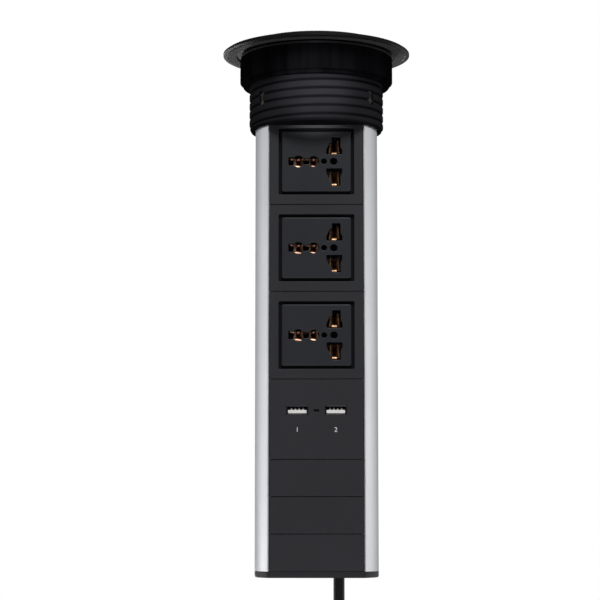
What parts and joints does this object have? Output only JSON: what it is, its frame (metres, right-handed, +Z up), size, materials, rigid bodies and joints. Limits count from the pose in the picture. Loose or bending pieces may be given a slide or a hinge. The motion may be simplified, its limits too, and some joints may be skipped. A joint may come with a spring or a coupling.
{
  "type": "pop up desk socket",
  "caption": "Round desk collar with a threaded sleeve and ring nut, and a sliding aluminium tower with mains outlets, charging ports and a cord out of its foot.",
  "frame": {"origin": "middle of the collar, on the plane where the flange rests on the desk", "axes": "+Z up along the tower, -Y out of the sockets, +X to the right when facing the sockets"},
  "size_m": [0.12, 0.12, 0.5265],
  "materials": {
    "collar_plastic": "satin moulded, near black",
    "nut_plastic": "smooth gloss, black",
    "panel_plastic": "fine satin, charcoal",
    "insert_plastic": "satin, charcoal",
    "tower_aluminium": "satin anodised",
    "contact_copper": "bare copper alloy",
    "spring_steel": "bare",
    "screw_steel": "zinc plated",
    "port_steel": "plated",
    "gasket_foam": "soft foam",
    "gland_rubber": "matte",
    "cord_sheath": "smooth sheath",
    "pad_plastic": "matte",
    "tongue_plastic": "white",
    "carrier_plastic": "natural",
    "board_laminate": "lacquered",
    "winding_tape": "taped",
    "capacitor_can": "sleeved",
    "lamp_plastic": "smoked clear",
    "wire_brown": "insulated",
    "wire_blue": "insulated",
    "wire_green": "insulated",
    "plug_plastic": "satin",
    "pin_metal": "nickel plated"
  },
  "bodies": {
    "collar": {"collar": "collar_plastic", "desk_gasket": "gasket_foam", "brake_pad_left": "pad_plastic", "brake_pad_right": "pad_plastic", "brake_spring_left": "spring_steel", "brake_spring_right": "spring_steel"},
    "washer": {"clamp_washer": "collar_plastic"},
    "nut": {"ring_nut": "nut_plastic"},
    "tower": {"tower_profile": "tower_aluminium", "lid": "collar_plastic", "lid_disc": "panel_plastic", "lid_screws": "screw_steel", "filler_panel": "panel_plastic", "socket_frame_1": "panel_plastic", "socket_frame_2": "panel_plastic", "socket_frame_3": "panel_plastic", "socket_insert_1": "insert_plastic", "socket_insert_2": "insert_plastic", "socket_insert_3": "insert_plastic", "live_bar": "contact_copper", "neutral_bar": "contact_copper", "earth_bar": "contact_copper", "contact_carrier": "carrier_plastic", "carrier_screws": "screw_steel", "usb_panel": "panel_plastic", "usb_shell_left": "port_steel", "usb_shell_right": "port_steel", "usb_tongue_left": "tongue_plastic", "usb_tongue_right": "tongue_plastic", "usb_contacts": "contact_copper", "usb_board": "board_laminate", "board_screws": "screw_steel", "charger_transformer": "winding_tape", "charger_capacitors": "capacitor_can", "led_window": "lamp_plastic", "blank_panel_1": "panel_plastic", "blank_panel_2": "panel_plastic", "blank_panel_3": "panel_plastic", "end_cap": "panel_plastic", "end_screws": "screw_steel", "stop_screws": "screw_steel", "cable_gland": "gland_rubber", "cord_clamp": "plug_plastic", "clamp_screws": "screw_steel", "cord_inner": "cord_sheath", "live_wire": "wire_brown", "neutral_wire": "wire_blue", "earth_wire": "wire_green", "cord_lead": "cord_sheath", "cord_coil": "cord_sheath", "cord_tail": "cord_sheath", "coil_tie": "gland_rubber", "plug_body": "plug_plastic", "plug_pins": "pin_metal", "plug_earth_clips": "pin_metal"}
  },
  "joints": [
    {"name": "tower_slide", "type": "slide", "parent": "collar", "child": "tower", "axis": [0, 0, 1], "range_m": [0, 0.265]},
    {"name": "washer_slide", "type": "slide", "parent": "collar", "child": "washer", "axis": [0, 0, 1], "range_m": [-0.0274, 0]},
    {"name": "nut_turn", "type": "hinge", "parent": "washer", "child": "nut", "pos_m": [0, 0, -0.0112], "axis": [0, 0, 1], "range_deg": [-1800, 0]}
  ],
  "couplings": [
    {"joint": "nut_turn", "follows": "washer_slide", "rad_per_m": 1142.4}
  ]
}
